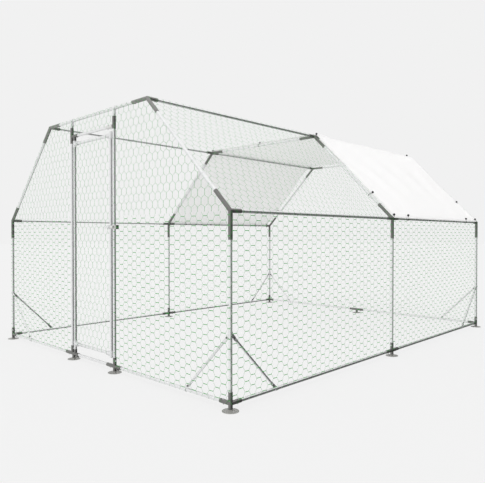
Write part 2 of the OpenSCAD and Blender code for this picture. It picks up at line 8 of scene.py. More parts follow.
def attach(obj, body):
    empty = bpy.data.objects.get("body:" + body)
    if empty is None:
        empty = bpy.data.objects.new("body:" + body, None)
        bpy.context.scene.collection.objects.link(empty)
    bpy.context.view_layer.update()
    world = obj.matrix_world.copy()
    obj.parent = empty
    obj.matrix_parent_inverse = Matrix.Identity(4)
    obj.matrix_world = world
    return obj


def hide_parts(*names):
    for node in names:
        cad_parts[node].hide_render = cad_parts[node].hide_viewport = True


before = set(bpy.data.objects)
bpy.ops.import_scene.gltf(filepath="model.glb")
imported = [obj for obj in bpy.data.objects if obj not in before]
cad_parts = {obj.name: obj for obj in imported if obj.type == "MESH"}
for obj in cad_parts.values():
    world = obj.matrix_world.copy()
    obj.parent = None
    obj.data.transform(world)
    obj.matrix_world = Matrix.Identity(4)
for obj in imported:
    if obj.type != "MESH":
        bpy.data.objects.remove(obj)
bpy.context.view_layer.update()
print("frame:", len(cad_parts), "nodes")

# The run's lines in metres, as the solids have them
run = {
    "halfW": 1.5, "halfL": 1.9, "halfTop": 0.703,
    "base": 0.045, "eave": 1.147, "ridge": 1.932,
    "tubeR": 0.011, "sleeveR": 0.0133,
    "doorMid": -0.015, "doorX": 0.311, "stileX": 0.267, "lintel": 1.805,
    "doorTop": 1.741, "doorBottom": 0.13, "latch": 1.066, "railSleeve": 0.084,
    "netOff": 0.0155, "branchNetOff": 0.0147, "netEdge": 0.008, "netSeam": 0.0008,
    "coverOff": 0.0175, "coverL": 1.86,
}
sides = (-1, 1)
xAxis, yAxis, up = Vector((1, 0, 0)), Vector((0, 1, 0)), Vector((0, 0, 1))
hw, hl = run["halfW"], run["halfL"]
wide, long = 2 * hw, 2 * hl
tiny = 1e-6


def slopeDir(side):  # from an eave up to the ridge on the same side
    return Vector((side * (run["halfTop"] - hw), 0, run["ridge"] - run["eave"])).normalized()


def slopeOut(side):
    d = slopeDir(side)
    return Vector((side * d.z, 0, abs(d.x)))


slopeL = math.hypot(hw - run["halfTop"], run["ridge"] - run["eave"])
slopeAngle = math.atan2(run["ridge"] - run["eave"], hw - run["halfTop"])


def basePoint(side, y):
    return Vector((side * hw, y, run["base"]))


def eavePoint(side, y):
    return Vector((side * hw, y, run["eave"]))


def ridgePoint(side, y):
    return Vector((side * run["halfTop"], y, run["ridge"]))


def share(value):  # held between 0 and 1
    return max(0.0, min(1.0, value))


def newObject(name, data):
    made = bpy.data.objects.new(name, data)
    bpy.context.scene.collection.objects.link(made)
    return made


# Camera
view = {"place": (3.5963, -3.9789, 1.0069), "tilt": 89.3025, "turn": 43.9037, "lens": 38.456}
cameraData = bpy.data.cameras.new("camera")
cameraData.lens = view["lens"]
camera = newObject("camera", cameraData)
camera.location = view["place"]
camera.rotation_euler = (math.radians(view["tilt"]), 0, math.radians(view["turn"]))
bpy.context.scene.camera = camera
bpy.context.scene.view_settings.view_transform = "Standard"
print("camera placed")


# Shader maths: one output socket, with the operators that the finishes use
class Line:
    def __init__(self, tree, socket=None):
        self.tree, self.socket = tree, socket

    def node(self, kind, settings=None, sockets=None, out=0):
        made = self.tree.nodes.new("ShaderNode" + kind)
        for key, value in (settings or {}).items():
            if key == "stops":
                for i, (place, shade) in enumerate(value):
                    stop = made.color_ramp.elements[i] if i < 2 else made.color_ramp.elements.new(place)
                    stop.position, stop.color = place, (shade, shade, shade, 1)
            else:
                setattr(made, key, value)
        for key, value in (sockets or {}).items():
            if isinstance(value, Line):
                self.tree.links.new(value.socket, made.inputs[key])
            else:
                made.inputs[key].default_value = value
        return Line(self.tree, made.outputs[out] if len(made.outputs) else None)

    def output(self, key):  # another output of the same node
        return Line(self.tree, self.socket.node.outputs[key])

    def maths(self, operation, first, second=0.0):
        return self.node("Math", {"operation": operation}, {0: first, 1: second})

    def __add__(self, other):
        return self.maths("ADD", self, other)

    def __radd__(self, other):
        return self.maths("ADD", other, self)

    def __sub__(self, other):
        return self.maths("SUBTRACT", self, other)

    def __rsub__(self, other):
        return self.maths("SUBTRACT", other, self)

    def __mul__(self, other):
        return self.maths("MULTIPLY", self, other)

    def __rmul__(self, other):
        return self.maths("MULTIPLY", other, self)

    def between(self, low, high):  # 0 at low, 1 at high, held outside
        return self.node("MapRange", None, {"Value": self, "From Min": low, "From Max": high})

    def blend(self, first, second):  # colours, by this factor
        return self.node("Mix", {"data_type": "RGBA"}, {0: self, 6: first, 7: second}, out=2)


def newFinish(name):
    material = bpy.data.materials.new(name)
    material.use_nodes = True
    material.node_tree.nodes.clear()
    return material, Line(material.node_tree)


def close(pen, shader):
    pen.node("OutputMaterial", None, {"Surface": shader})


def cloud(pen, where, scale, detail=3.0, rough=0.55):
    return pen.node("TexNoise", None, {"Vector": where, "Scale": scale, "Detail": detail, "Roughness": rough})


# What every metal here shares: the spread of its noises, and how deep its bump is
metalGrain = {
    "shade": (0.2, 0.8), "stain": (0.52, 0.75), "rough": (0.3, 0.7),
    "patchBlend": 0.002, "flakeHigh": 0.4, "bumpDeep": 0.0006,
}


def metalFinish(name, look):
    material, pen = newFinish(name)
    where = pen.node("TexCoord", out=3)
    cell = pen.node("TexVoronoi", None, {"Vector": where, "Scale": look["spangle"]}, out=1)
    flake = pen.node("SeparateColor", None, {0: cell})
    bloom = cloud(pen, where, look["bloom"], detail=4.0)
    grit = cloud(pen, where, look["grit"], detail=2.0)
    flakeShare = look["flakeShare"]
    shade = (flake * flakeShare + bloom * (1 - flakeShare)).between(*metalGrain["shade"])
    colour = shade.blend(look["dark"], look["light"])
    stain = cloud(pen, where, look["stain"], detail=5.0, rough=0.65).between(*metalGrain["stain"])
    colour = (stain * look["stainShare"]).blend(colour, look["stainColour"])
    metal = look["metal"]
    for axis, edge, patch, patchMetal in look.get("patches", []):  # another tone below an edge on X or Z
        place = pen.node("SeparateXYZ", None, {0: where}, out=axis)
        beyond = place.between(edge - metalGrain["patchBlend"], edge)
        colour = beyond.blend(patch, colour)
        metal = patchMetal + (look["metal"] - patchMetal) * beyond
    low, high = look["rough"]
    rough = low + (high - low) * bloom.between(*metalGrain["rough"])
    bump = pen.node("Bump", None, {
        "Strength": look["bump"], "Distance": metalGrain["bumpDeep"],
        "Height": grit + flake * metalGrain["flakeHigh"],
    })
    close(pen, pen.node("BsdfPrincipled", None, {
        "Base Color": colour, "Roughness": rough, "Metallic": metal, "Normal": bump,
    }))
    return material


tubeLook = {
    "spangle": 150, "bloom": 26, "grit": 900, "stain": 7, "flakeShare": 0.25,
    "dark": (0.78, 0.785, 0.79, 1), "light": (0.93, 0.935, 0.935, 1),
    "stainColour": (0.62, 0.62, 0.61, 1), "stainShare": 0.3,
    "rough": (0.24, 0.38), "bump": 0.05, "metal": 1.0,
}
fittingLook = {
    "spangle": 240, "bloom": 30, "grit": 1100, "stain": 14, "flakeShare": 0.15,
    "dark": (0.17, 0.17, 0.163, 1), "light": (0.25, 0.25, 0.239, 1),
    "stainColour": (0.145, 0.145, 0.138, 1), "stainShare": 0.4,
    "rough": (0.3, 0.45), "bump": 0.025, "metal": 0.95,
    # painted light: below z 0.012 the discs on the ground are painted a lighter, less metallic tone, for the
    # bright sky their tops face
    "patches": [(2, 0.012, (0.42, 0.42, 0.4, 1), 0.5)],  # the discs on the ground
}
zincLook = {
    "spangle": 300, "bloom": 40, "grit": 1200, "stain": 12, "flakeShare": 0.2,
    "dark": (0.64, 0.645, 0.65, 1), "light": (0.78, 0.785, 0.785, 1),
    "stainColour": (0.52, 0.52, 0.505, 1), "stainShare": 0.25,
    "rough": (0.26, 0.42), "bump": 0.06, "metal": 0.35,
}
paleTone, paleMetal = (0.66, 0.66, 0.645, 1), 0.3
galvanisedTube = metalFinish("galvanisedTube", tubeLook)
# painted light: a less metallic copy of the tube finish, so the posts read lighter than the other tubes
paintedLightPost = metalFinish("paintedLightPost", {**tubeLook, "metal": 0.92})
dullFitting = metalFinish("dullFitting", fittingLook)
# painted light: a lighter copy of the fitting finish for the gable ridge joints
paintedLightJoint = metalFinish("paintedLightJoint", {
    **fittingLook, "dark": (0.22, 0.22, 0.212, 1), "light": (0.33, 0.33, 0.317, 1),
})
paleArm = metalFinish("paleArm", {**fittingLook, "patches": [(0, 0.282, paleTone, paleMetal)]})
# painted shade: the keeper's near-black tones stand for the shadow it sits in beside the latch post; left of
# x 0.3235 it has the pale zinc tone
paintedShadeKeeper = metalFinish("paintedShadeKeeper", {
    **fittingLook, "dark": (0.06, 0.06, 0.057, 1), "light": (0.1, 0.1, 0.095, 1),
    "stainColour": (0.05, 0.05, 0.047, 1), "patches": [(0, 0.3235, paleTone, paleMetal)],
})
brightZinc = metalFinish("brightZinc", zincLook)

# painted light: each wire's inward side is near-white, so far layers of net fade into the bright background
wireLook = {
    "pale": (0.03, 0.4, 0.05, 1), "deep": (0.016, 0.29, 0.03, 1), "paintedLightInner": (0.9, 0.92, 0.9, 1),
    "patch": 5, "fleck": 420, "shade": (0.3, 0.7), "outer": (0.4, 0.5),
    "rough": (0.35, 0.55), "shine": 0.2, "bump": 0.15, "bumpDeep": 0.0003,
}


def wireFinish():
    material, pen = newFinish("greenWire")
    where = pen.node("TexCoord", out=3)
    patch = cloud(pen, where, wireLook["patch"])
    fleck = cloud(pen, where, wireLook["fleck"], detail=2.0)
    shade = (patch * 0.5 + fleck * 0.5).between(*wireLook["shade"])
    outer = pen.node("Attribute", {"attribute_name": "outer"}, out=2).between(*wireLook["outer"])
    # painted light: near-white on the inward side of each wire, its own green on the outward side
    colour = outer.blend(wireLook["paintedLightInner"], shade.blend(wireLook["deep"], wireLook["pale"]))
    low, high = wireLook["rough"]
    bump = pen.node("Bump", None, {
        "Strength": wireLook["bump"], "Distance": wireLook["bumpDeep"], "Height": fleck,
    })
    close(pen, pen.node("BsdfPrincipled", None, {
        "Base Color": colour, "Specular IOR Level": wireLook["shine"],
        "Roughness": low + (high - low) * fleck, "Normal": bump,
    }))
    return material


greenWire = wireFinish()

clothLook = {
    "white": (0.96, 0.96, 0.96, 1), "shadeTone": (0.93, 0.93, 0.93, 1),
    "tape": 0.0026, "crease": 0.31, "creaseWide": 0.006,
    "scuff": 3.2, "scuffSpread": (0.45, 0.8), "fine": 60.0,
    # the crease share darkens the fold lines: painted shade in the creases
    "tone": {"scuff": 0.5, "crease": 0.12, "fine": 0.1},
    "height": {"weave": 0.35, "scuff": 2.0, "crease": 0.5},
    "rough": (0.38, 0.55), "bump": 0.25, "bumpDeep": 0.0006,
    "through": (0.95, 0.94, 0.94, 1), "throughShare": 0.4,
}


def clothFinish():
    material, pen = newFinish("coatedCloth")
    flat = pen.node("TexCoord", out=2)
    parts = pen.node("SeparateXYZ", None, {0: flat})
    across, along = parts.output(0), parts.output(1)
    turns = 2 * math.pi / clothLook["tape"]
    weave = pen.maths("SINE", across * turns) * pen.maths("SINE", along * turns)
    scuff = cloud(pen, flat, clothLook["scuff"], detail=5.0, rough=0.6)
    fine = cloud(pen, flat, clothLook["fine"])
    folds = []
    for way in (across, along):  # where the cloth was folded in its packet
        apart = pen.maths("ABSOLUTE", pen.maths("PINGPONG", way, clothLook["crease"]))
        folds.append(1 - apart.between(0.0, clothLook["creaseWide"]))
    crease = pen.maths("MAXIMUM", *folds)
    tone, height = clothLook["tone"], clothLook["height"]
    shade = scuff.between(*clothLook["scuffSpread"]) * tone["scuff"]
    # painted shade: the fold lines are painted a little darker
    shade = (shade + crease * tone["crease"] + fine * tone["fine"]).between(0.0, 1.0)
    low, high = clothLook["rough"]
    bump = pen.node("Bump", None, {
        "Strength": clothLook["bump"], "Distance": clothLook["bumpDeep"],
        "Height": weave * height["weave"] + scuff * height["scuff"] - crease * height["crease"],
    })
    coat = pen.node("BsdfPrincipled", None, {
        "Base Color": shade.blend(clothLook["white"], clothLook["shadeTone"]),
        "Roughness": low + (high - low) * scuff, "Normal": bump,
    })
    through = pen.node("BsdfTranslucent", None, {"Color": clothLook["through"], "Normal": bump})
    close(pen, pen.node("MixShader", None, {0: clothLook["throughShare"], 1: coat, 2: through}))
    return material


coatedCloth = clothFinish()

ballLook = {
    "black": (0.012, 0.012, 0.013, 1), "grey": (0.035, 0.035, 0.036, 1),
    "scuff": 240, "scuffSpread": (0.35, 0.75), "rough": (0.3, 0.5), "bump": 0.1, "bumpDeep": 0.0004,
}


def ballFinish():
    material, pen = newFinish("blackBall")
    where = pen.node("TexCoord", out=3)
    scuff = cloud(pen, where, ballLook["scuff"])
    low, high = ballLook["rough"]
    bump = pen.node("Bump", None, {
        "Strength": ballLook["bump"], "Distance": ballLook["bumpDeep"], "Height": scuff,
    })
    close(pen, pen.node("BsdfPrincipled", None, {
        "Base Color": scuff.between(*ballLook["scuffSpread"]).blend(ballLook["black"], ballLook["grey"]),
        "Roughness": low + (high - low) * scuff, "Normal": bump,
    }))
    return material


blackBall = ballFinish()
print("finishes made")

# CAD nodes that keep their shape: plain tube, unless they are named here
nodeFinish = {n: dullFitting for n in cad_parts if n.endswith(("_foot", "_joint", "_joints"))}
nodeFinish.update({n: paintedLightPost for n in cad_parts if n.endswith("_posts")})
for name in ("door_corner_clamps", "post_top_joints", "latch_guide", "latch_bolt"):
    nodeFinish[name] = brightZinc
nodeFinish.update(latch_lintel_joint=paleArm, latch_keeper=paintedShadeKeeper, gable_ridge_joints=paintedLightJoint)
softNodes = [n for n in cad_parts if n.endswith(("_net", "_nets"))] + ["rain_cover", "ball_ties"]
for name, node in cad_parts.items():
    if name not in softNodes:
        node.data.materials.clear()
        node.data.materials.append(nodeFinish.get(name, galvanisedTube))


def asMesh(bm, name):
    mesh = bpy.data.meshes.new(name)
    bm.to_mesh(mesh)
    bm.free()
    return mesh


def makePiece(bm, name, body, finish, replaced=(), smooth=True):
    mesh = asMesh(bm, name)
    if smooth:
        mesh.shade_smooth()
    mesh.materials.append(finish)
    piece = newObject(name, mesh)
    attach(piece, body)
    if replaced:
        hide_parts(*replaced)
    return piece


def stand(point, direction):  # turns +Z to the direction and moves to the point
    return Matrix.Translation(point) @ Vector(direction).to_track_quat("Z", "Y").to_matrix().to_4x4()


def addCopy(bm, shape, matrix):
    copy = shape.copy()
    copy.transform(matrix)
    bm.from_mesh(copy)
    bpy.data.meshes.remove(copy)


def everything(bm):
    return bm.verts[:] + bm.edges[:] + bm.faces[:]


def ease(bm, edges, offset):  # one narrow bevel
    return bmesh.ops.bevel(
        bm, geom=edges, offset=offset, affect="EDGES", segments=1, profile=0.5, material=-1,
    )


def ringShape(ring):  # a ring round Z with an oval section
    bm = bmesh.new()
    circle = bmesh.ops.create_circle(bm, segments=8, radius=1)["verts"]
    bmesh.ops.scale(bm, verts=circle, vec=(ring["radial"], ring["high"], 1))
    bmesh.ops.rotate(bm, verts=circle, matrix=Matrix.Rotation(math.pi / 2, 3, "X"))
    bmesh.ops.translate(bm, verts=circle, vec=(ring["ringR"], 0, 0))
    bmesh.ops.spin(
        bm, geom=bm.verts[:] + bm.edges[:], cent=(0, 0, 0), axis=(0, 0, 1),
        angle=2 * math.pi, steps=ring["steps"], use_merge=True,
    )
    bmesh.ops.recalc_face_normals(bm, faces=bm.faces)
    return bm


# Hexagonal wire net
netting = {
    "flat": 0.3, "twistTurn": 1.5 * math.pi, "twistSteps": 5,
    "eaveWrap": math.radians(75), "eaveTwist": 0.01, "tieWrap": math.radians(35), "skirt": 0.008,
    "wobble": 0.0008, "wobbleScale": 6.0, "billow": 0.0015, "billowScale": 3.0, "billowIn": 0.3,
    "columnVary": 0.005, "columnScale": 9.0,
    "openSide": 5.0,  # longer than any panel: the net doesn't curl that way
}
wallGauge = {"side": 0.034, "wireR": 0.00075, "twistWide": 0.0026, "twistThin": 0.0021}
frontGauge = {**wallGauge, "stretch": 1.025}
gableGauge = {"side": 0.0352, "wireR": 0.00076, "twistWide": 0.0018, "twistThin": 0.0014}
roofGauge = {"side": 0.0345, "stretch": 1.02, "wireR": 0.0007, "twistWide": 0.0012, "twistThin": 0.001}


def netCells(gauge):  # one repeat: two twists along X and the four wires that leave them, pressed flat
    side, wireR, bm = gauge["side"], gauge["wireR"], bmesh.new()
    half = side * math.sqrt(3) / 2
    steps = netting["twistSteps"]
    for start in ((0, 0), (1.5 * side, half)):
        ring = bmesh.ops.create_circle(bm, segments=4, radius=1)["verts"]
        bmesh.ops.scale(bm, verts=ring, vec=(gauge["twistWide"], gauge["twistThin"], 1))
        bmesh.ops.rotate(bm, verts=ring, matrix=Matrix.Rotation(math.pi / 2, 3, "Y"))
        bmesh.ops.translate(bm, verts=ring, vec=(*start, 0))
        edges = [e for e in bm.edges if all(v in ring for v in e.verts)]
        bmesh.ops.spin(
            bm, geom=ring + edges, cent=(*start, 0), axis=(1, 0, 0),
            dvec=(side / steps, 0, 0), angle=netting["twistTurn"], steps=steps,
        )
    bmesh.ops.holes_fill(bm, edges=[e for e in bm.edges if e.is_boundary], sides=4)
    runs = [((side, 0), (0.5 * side, half)), ((side, 0), (0.5 * side, -half)),
            ((2.5 * side, half), (0.5 * side, -half)), ((2.5 * side, half), (0.5 * side, half))]
    for start, leg in runs:
        a, d = Vector((*start, 0)), Vector((*leg, 0))
        bmesh.ops.create_cone(
            bm, cap_ends=True, segments=4, radius1=wireR, radius2=wireR,
            depth=d.length + wireR, matrix=stand(a + d / 2, d),
        )
    bmesh.ops.scale(bm, verts=bm.verts, vec=(gauge.get("stretch", 1), 1, netting["flat"]))
    return bm


def spread(bm, counts, steps):  # rows and columns of copies
    mesh = asMesh(bm, "cells")
    cells = newObject("cells", mesh)
    for axis, (count, step) in enumerate(zip(counts, steps)):
        row = cells.modifiers.new("row", "ARRAY")
        row.count = count
        row.use_relative_offset = False
        row.use_constant_offset = True
        row.constant_offset_displace = [step if i == axis else 0 for i in range(3)]
    tiled = bmesh.new()
    tiled.from_object(cells, bpy.context.evaluated_depsgraph_get())
    bpy.data.objects.remove(cells)
    bpy.data.meshes.remove(mesh)
    return tiled


def curled(value, length, off):  # place along a panel, and the angle round its end tubes
    if value < 0:
        return 0.0, value / off
    if value > length:
        return length, (value - length) / off
    return value, 0.0


def netPoint(panel, a, b, w):
    off = panel.get("off", run["netOff"])
    a0, turnA = curled(a, panel["size"][0], off)
    b0, turnB = curled(b, panel["size"][1], off)
    along, across, out = panel["along"], panel["across"], panel["out"]
    lean = out * math.cos(turnA + turnB) + along * math.sin(turnA) + across * math.sin(turnB)
    return panel["corner"] + along * a0 + across * b0 + lean * (off + w)


def netPanel(panel):  # panel["outline"] is anticlockwise in (along, across)
    gauge, phase, length = panel["gauge"], panel["phase"], panel["size"][0]
    steps = (3 * gauge["side"] * gauge.get("stretch", 1), math.sqrt(3) * gauge["side"])
    outline = [Vector((*p, 0)) for p in panel["outline"]]
    low = [min(p[i] for p in outline) for i in (0, 1)]
    high = [max(p[i] for p in outline) for i in (0, 1)]
    first = [math.floor((low[i] + phase[i]) / steps[i] - 1) * steps[i] - phase[i] for i in (0, 1)]
    counts = [math.ceil((high[i] - first[i]) / steps[i]) + 1 for i in (0, 1)]
    bm = spread(netCells(gauge), counts, steps)
    bmesh.ops.translate(bm, verts=bm.verts, vec=(*first, 0))
    for p, q in zip(outline, outline[1:] + outline[:1]):
        edge = q - p
        bmesh.ops.bisect_plane(
            bm, geom=everything(bm), dist=tiny,
            plane_co=p, plane_no=(edge.y, -edge.x, 0), clear_outer=True,
        )
    bmesh.ops.holes_fill(bm, edges=[e for e in bm.edges if e.is_boundary], sides=8)
    # the finish paints the inward side of each wire near-white: painted light
    outer = bm.verts.layers.float.new("outer")  # 1 on the wires' outward side, 0 on the inward
    for v in bm.verts:
        a, b, w = v.co
        v[outer] = 0.5 + 0.5 * max(-1.0, min(1.0, w / (gauge["wireR"] * netting["flat"])))
        flat = Vector((a + phase[0], b + phase[1], panel["seed"]))
        push = noise.noise_vector(flat * netting["wobbleScale"]) * netting["wobble"]
        swell = noise.noise(flat * netting["billowScale"]) * netting["billow"]
        push.y += netting["columnVary"] * noise.noise(Vector((flat.y * netting["columnScale"], flat.z, 0)))
        inside = share((length - abs(2 * a - length)) / netting["billowIn"])
        v.co = netPoint(panel, a + push.x, b + push.y, w + swell * inside)
    bmesh.ops.recalc_face_normals(bm, faces=bm.faces)
    return bm


def rectangle(a1, b1, a2, b2):
    return [(a1, b1), (a2, b1), (a2, b2), (a1, b2)]


def anticlockwise(points):
    total = sum(p[0] * q[1] - p[1] * q[0] for p, q in zip(points, points[1:] + points[:1]))
    return points if total > 0 else points[::-1]


# Lengths of net that curl round the tubes, and the front's two runs left and right of the door
quarter = run["netOff"] * math.pi / 4
ridgeTurn = run["netOff"] * slopeAngle / 2
eaveArc = run["netOff"] * netting["eaveWrap"]
tieArc = run["netOff"] * netting["tieWrap"]
near = run["doorX"] + run["netEdge"]
frontRuns = [hw - s * run["doorMid"] - near for s in sides]

# Where the rows and columns of cells start
wallPhase = {
    "level": 0.055, "right": 0.049, "rear": 0.02, "left": 0.08, "frontRight": 0.066, "frontLeft": 0.077,
}
gablePhase = {-1: (0.095, 0.008), 1: (0.06, 0.012), "door": (0.002, 0.015), "other": 0.02}
roofPhase = 0.0261


def wallPanel(corner, along, out, length, phase, wrapLow, wrapHigh, gauge=wallGauge):
    a1, a2 = -quarter * wrapLow, length + quarter * wrapHigh
    return {
        "corner": Vector((*corner, 0)), "along": along, "across": up, "out": out, "seed": 1,
        "size": (length, netting["openSide"]), "phase": (phase, wallPhase["level"]), "gauge": gauge,
        "outline": rectangle(a1, run["base"] - netting["skirt"], a2, run["eave"]),
    }


def frontPanel(x, length, phase, wrapLow, wrapHigh):
    return wallPanel((x, -hl), xAxis, -yAxis, length, phase, wrapLow, wrapHigh, frontGauge)


wallPanels = {
    "right_wall_net": [wallPanel((hw, -hl), yAxis, xAxis, long, wallPhase["right"], 1, 1)],
    "rear_wall_net": [wallPanel((hw, hl), -xAxis, yAxis, wide, wallPhase["rear"], 1, 1)],
    "left_wall_net": [wallPanel((-hw, hl), -yAxis, -xAxis, long, wallPhase["left"], 1, 1)],
    "front_wall_nets": [
        frontPanel(run["doorMid"] + near, frontRuns[1], wallPhase["frontRight"], 0, 1),
        frontPanel(-hw, frontRuns[0], wallPhase["frontLeft"], 1, 0),
    ],
}


def gablePanel(x, z, y, across, outline, off=run["netOff"], phase=None):
    return {
        "corner": Vector((x, y, z)), "along": up, "across": across,
        "out": Vector((0, math.copysign(1, y), 0)), "off": off, "seed": 2,
        "size": (run["ridge"] - z, netting["openSide"]),
        "phase": phase or (gablePhase["other"], x), "gauge": gableGauge, "outline": outline,
    }


gableFoot = run["eave"] + run["netSeam"]
gableRise = run["ridge"] - gableFoot
gableReach = gableRise + tieArc  # up to the tie's axis and on over the tie
gableLean = (hw - run["halfTop"]) * gableReach / gableRise


def halfGable(side):
    inner = near + side * run["doorMid"]
    return anticlockwise([(0, 0), (0, hw - inner), (gableReach, hw - gableLean - inner), (gableReach, 0)])


wholeGable = anticlockwise([(0, 0), (0, wide), (gableReach, wide - gableLean), (gableReach, gableLean)])
headW = 2 * (run["doorX"] - run["netEdge"])
headLeft = run["doorMid"] - headW / 2
headShape = rectangle(0, 0, run["ridge"] - run["lintel"] + tieArc, headW)
headPanel = gablePanel(headLeft, run["lintel"], -hl, xAxis, headShape, run["branchNetOff"])
frontGables = [
    gablePanel(run["doorMid"] + s * near, gableFoot, -hl, s * xAxis, halfGable(s), phase=gablePhase[s])
    for s in sides
]
gablePanels = {
    "front_gable_nets": frontGables + [headPanel],
    "rear_gable_net": [gablePanel(-hw, gableFoot, hl, xAxis, wholeGable)],
}
doorW, doorH = 2 * (run["stileX"] - run["netEdge"]), run["doorTop"] - run["doorBottom"]
doorLeft = run["doorMid"] - doorW / 2
doorPanels = {"door_net": [gablePanel(
    doorLeft, run["doorBottom"], -hl, xAxis, rectangle(0, 0, doorH, doorW),
    run["branchNetOff"], gablePhase["door"],
)]}


def roofPanel(corner, along, out, width, phase, wrapLow, wrapHigh):  # the twists run across the run
    return {
        "corner": corner, "along": along, "across": yAxis, "out": out, "seed": 3,
        "size": (width, long), "phase": (phase, roofPhase), "gauge": roofGauge,
        "outline": rectangle(-wrapLow, 0, width + wrapHigh, long),
    }


topW = 2 * run["halfTop"]
eavePhase = roofGauge["side"] * roofGauge["stretch"] - netting["eaveTwist"]  # twists lie over each eave
topPhase = eavePhase + slopeL + 2 * ridgeTurn
rightPhase = netting["eaveTwist"] - slopeL
leftSlope = roofPanel(eavePoint(-1, -hl), slopeDir(-1), slopeOut(-1), slopeL, eavePhase, eaveArc, ridgeTurn)
flatTop = roofPanel(ridgePoint(-1, -hl), xAxis, up, topW, topPhase, ridgeTurn, ridgeTurn)
rightSlope = roofPanel(ridgePoint(1, -hl), -slopeDir(1), slopeOut(1), slopeL, rightPhase, ridgeTurn, eaveArc)
roofPanels = {"left_roof_net": [leftSlope], "top_roof_net": [flatTop], "right_roof_net": [rightSlope]}

for node, panels in {**wallPanels, **gablePanels, **roofPanels, **doorPanels}.items():
    whole = bmesh.new()
    for panel in panels:
        mesh = asMesh(netPanel(panel), "part")
        whole.from_mesh(mesh)
        bpy.data.meshes.remove(mesh)
    body = "door" if node in doorPanels else "frame"
    piece = makePiece(whole, node + "_wire", body, greenWire, [node])
    print("net:", piece.name, sum(len(p.vertices) - 2 for p in piece.data.polygons), "triangles")

# Rain cover
cover = {
    "grid": (220, 112), "thick": 0.0009,
    "hem": 0.04, "hemStep": 0.0012, "hemRise": 0.0009, "hemTurn": math.radians(75) - slopeAngle,
    "tieIn": 0.018, "tieStep": 0.255, "tieRise": 0.3,
    "waves": 0.004, "waveScale": (2.1, 2.6), "waveLayer": 4.0,
    "fold": 0.0035, "foldTurn": 17, "wander": 3, "wanderScale": (1.5, 1.2), "wanderLayer": 9.0,
    "topFold": 0.7, "topTurn": 13, "topSlant": 2,
    "pucker": 0.003, "puckerReach": 0.11, "puckerEnd": 4, "puckerRise": 0.03,
    "spokes": 7, "spokeShift": (5, 3), "held": 0.05, "eaveHeld": 0.06, "eaveLeast": 0.15,
    "ridgeWide": 0.07, "ridgeLift": [(0.13, 0.1, 0.013), (0.95, 0.14, 0.005), (1.33, 0.16, 0.009)],
    "shoulder": 0.027, "shoulderDown": 0.1, "shoulderReach": (0.07, 0.3), "shoulderLong": 0.35,
}
arcR = run["coverOff"]
ridgeCurve, eaveCurve = arcR * slopeAngle, arcR * cover["hemTurn"]
halfCloth = run["halfTop"] + ridgeCurve + slopeL + eaveCurve
slopeStart, crest = run["halfTop"] + ridgeCurve, run["halfTop"] + ridgeCurve / 2


def coverLine(u):  # across the cloth from its middle: place in X and Z, and the outward side
    side = 1 if u >= 0 else -1
    t = abs(u)
    if t <= run["halfTop"]:
        return Vector((u, 0, run["ridge"])), up
    if t <= slopeStart:
        turn = (t - run["halfTop"]) / arcR
        return ridgePoint(side, 0), Vector((side * math.sin(turn), 0, math.cos(turn)))
    if t <= slopeStart + slopeL:
        return ridgePoint(side, 0) - slopeDir(side) * (t - slopeStart), slopeOut(side)
    turn = slopeAngle + (t - slopeStart - slopeL) / arcR
    return eavePoint(side, 0), Vector((side * math.sin(turn), 0, math.cos(turn)))


# Places of the ties on the flat cloth: along the eaves, up the slopes' edges, and on the ridges and the top
tieIn, tieStep = cover["tieIn"], cover["tieStep"]
tieYs = [tieIn, run["coverL"] - tieIn]
eaveYs = tieYs + [tieIn + tieStep, run["coverL"] - tieIn - tieStep]
slopeRows = ((tieIn, eaveYs), (cover["tieRise"], tieYs))
tiesFlat = [(s * (slopeStart + slopeL - d), y) for s in sides for d, ys in slopeRows for y in ys]
tiesFlat += [(u, y) for u in (-crest, 0, crest) for y in tieYs]


def layered(u, y, scale, layer):
    return noise.noise(Vector((u * scale[0], y * scale[1], layer)))


def clothLift(u, y):  # how far the cloth stands off the net
    t = abs(u)
    slope = share((t - slopeStart) / slopeL)
    topShare = max(0.0, 1 - t / run["halfTop"])
    lift = cover["waves"] * (0.5 + 0.5 * layered(u, y, cover["waveScale"], cover["waveLayer"]))
    wander = cover["wander"] * layered(u, y, cover["wanderScale"], cover["wanderLayer"])
    lift += cover["fold"] * math.sin(math.pi * slope) ** 2 * (1 + math.sin(y * cover["foldTurn"] + wander))
    topWave = math.sin(y * cover["topTurn"] + u * cover["topSlant"])
    lift += cover["fold"] * cover["topFold"] * topShare * (1 + topWave)
    nearRidge = math.exp(-((t - run["halfTop"]) / cover["ridgeWide"]) ** 2)
    for place, reach, height in cover["ridgeLift"]:
        lift += nearRidge * height * math.exp(-((y - place) / reach) ** 2)
    down = t - slopeStart - cover["shoulderDown"]  # the loose shoulder at each rear corner
    bulge = math.exp(-(down / cover["shoulderReach"][down > 0]) ** 2)
    lift += cover["shoulder"] * bulge * math.exp(-((y - run["coverL"]) / cover["shoulderLong"]) ** 2)
    hold = 1.0
    shiftU, shiftY = cover["spokeShift"]
    for tu, ty in tiesFlat:
        away = math.hypot(u - tu, y - ty)
        if away < cover["puckerEnd"] * cover["puckerReach"]:
            fade = math.exp(-away / cover["puckerReach"])
            spoke = math.cos(cover["spokes"] * math.atan2(y - ty, u - tu) + tu * shiftU + ty * shiftY)
            lift += cover["pucker"] * fade * (1 + spoke) * min(1.0, away / cover["puckerRise"])
            hold = min(hold, away / cover["held"])
    eaveShare = share((halfCloth - t) / cover["eaveHeld"])
    return lift * hold * (cover["eaveLeast"] + (1 - cover["eaveLeast"]) * eaveShare)


